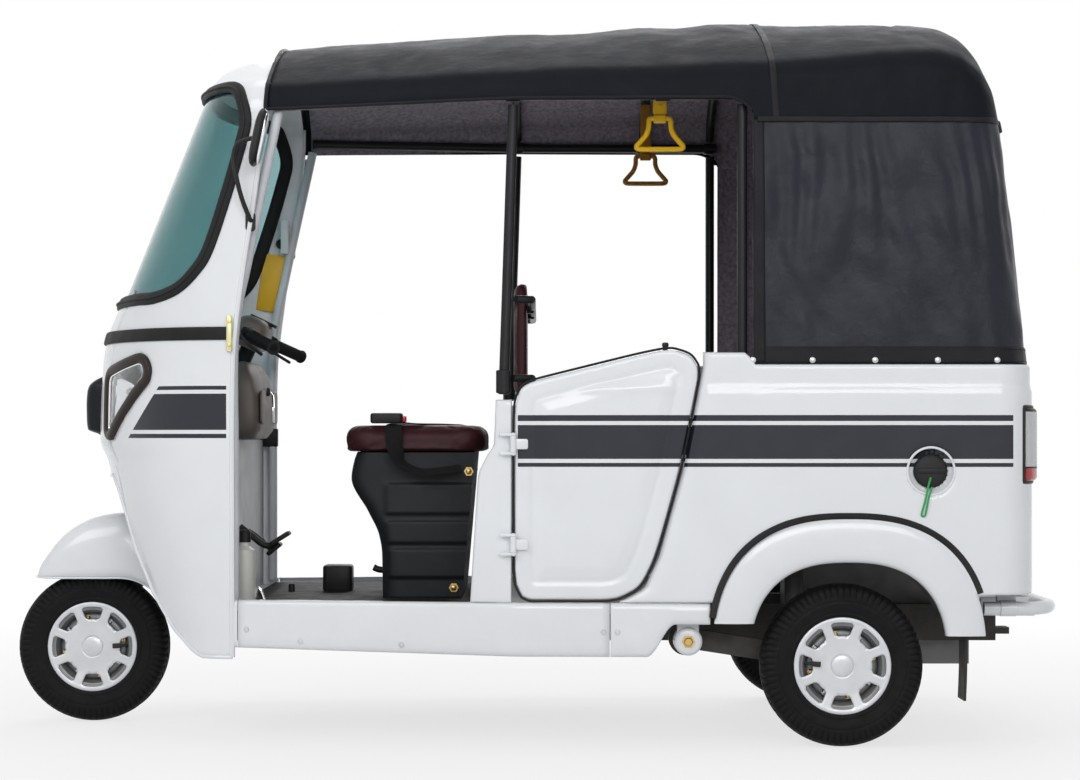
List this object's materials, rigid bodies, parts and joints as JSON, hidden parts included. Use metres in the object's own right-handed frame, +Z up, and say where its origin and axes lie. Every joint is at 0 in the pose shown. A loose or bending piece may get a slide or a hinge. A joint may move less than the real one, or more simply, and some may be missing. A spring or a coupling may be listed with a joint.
{
  "type": "three-wheeled auto rickshaw",
  "caption": "Three-wheeled passenger taxi with a wrap-round cowl, fabric hood, half doors, steerable front wheel and a hinged rear lid.",
  "frame": {"origin": "on the ground under the middle of the vehicle's box", "axes": "+Z up, -X to the front, -Y to the vehicle's left side"},
  "size_m": [2.7697, 1.33, 1.906],
  "materials": {
    "dark_steel": "satin black chassis paint",
    "floor_paint": "grey floor sheet",
    "engine_cast": "dull cast block",
    "exhaust_steel": "dull steel",
    "white_paint": "gloss cool white",
    "screen_glass": "tinted",
    "black_rubber": "matt",
    "lamp_black": "satin black",
    "lamp_lens": "clear ribbed",
    "console_grey": "brown grey grained",
    "frame_black": "satin black tube",
    "hood_vinyl": "coated cloth",
    "tail_lens": "red and clear",
    "seat_black": "ribbed black",
    "seat_maroon": "maroon vinyl",
    "bench_grey": "grey sheet",
    "strap_yellow": "yellow",
    "wheel_silver": "silver paint",
    "tyre_black": "matt"
  },
  "bodies": {
    "chassis": {"chassis_frame": "dark_steel", "steering_post": "dark_steel", "tow_tongue": "dark_steel", "floor_pan": "floor_paint", "engine_block": "engine_cast", "exhaust": "exhaust_steel", "trailing_arms": "dark_steel", "half_shafts": "dark_steel", "rear_shocks": "dark_steel", "front_cowl": "white_paint", "windscreen_glass": "screen_glass", "cowl_rubbers": "black_rubber", "lamp_surrounds": "lamp_black", "lamp_lenses": "lamp_lens", "nose_cover": "lamp_black", "dash_console": "console_grey", "rocker_panels": "white_paint", "b_posts": "white_paint", "a_pillars": "frame_black", "roof_rails": "frame_black", "roof_posts": "frame_black", "roof_hoops": "frame_black", "partition_bars": "frame_black", "hood_cover": "hood_vinyl", "side_panels": "white_paint", "arch_flares": "white_paint", "fuel_filler": "lamp_black", "rear_panel": "white_paint", "tail_lamps": "tail_lens", "rear_bumper": "white_paint", "mud_flaps": "black_rubber", "mirrors": "lamp_black", "grab_handles": "strap_yellow", "driver_seat_base": "seat_black", "driver_cushion": "seat_maroon", "driver_backrest": "seat_maroon", "bench_base": "bench_grey", "bench_cushion": "seat_maroon", "bench_backrest": "seat_maroon"},
    "steering": {"steering_column": "dark_steel", "handlebar": "frame_black", "headset_cover": "console_grey", "front_fender": "white_paint"},
    "front_wheel": {"front_rim": "wheel_silver", "front_tyre": "tyre_black"},
    "rear_left_wheel": {"rear_left_rim": "wheel_silver", "rear_left_tyre": "tyre_black"},
    "rear_right_wheel": {"rear_right_rim": "wheel_silver", "rear_right_tyre": "tyre_black"},
    "left_door": {"door_left": "white_paint"},
    "right_door": {"door_right": "white_paint"},
    "engine_cover": {"engine_lid": "white_paint"}
  },
  "joints": [
    {"name": "steer", "type": "hinge", "parent": "chassis", "child": "steering", "pos_m": [-0.75091, 0, 1.036], "axis": [0.4226, 0, 0.9063], "range_deg": [-40, 40]},
    {"name": "front_wheel_spin", "type": "hinge", "parent": "steering", "child": "front_wheel", "pos_m": [-1.179, 0, 0.206], "axis": [0, 1, 0], "continuous": true},
    {"name": "rear_left_spin", "type": "hinge", "parent": "chassis", "child": "rear_left_wheel", "pos_m": [0.811, -0.585, 0.206], "axis": [0, 1, 0], "continuous": true},
    {"name": "rear_right_spin", "type": "hinge", "parent": "chassis", "child": "rear_right_wheel", "pos_m": [0.811, 0.585, 0.206], "axis": [0, 1, 0], "continuous": true},
    {"name": "door_left_swing", "type": "hinge", "parent": "chassis", "child": "left_door", "pos_m": [-0.017, -0.642, 0.65], "axis": [0, 0, -1], "range_deg": [0, 75]},
    {"name": "door_right_swing", "type": "hinge", "parent": "chassis", "child": "right_door", "pos_m": [-0.017, 0.642, 0.65], "axis": [0, 0, 1], "range_deg": [0, 75]},
    {"name": "lid_swing", "type": "hinge", "parent": "chassis", "child": "engine_cover", "pos_m": [1.305, 0, 0.725], "axis": [0, -1, 0], "range_deg": [0, 70]}
  ]
}
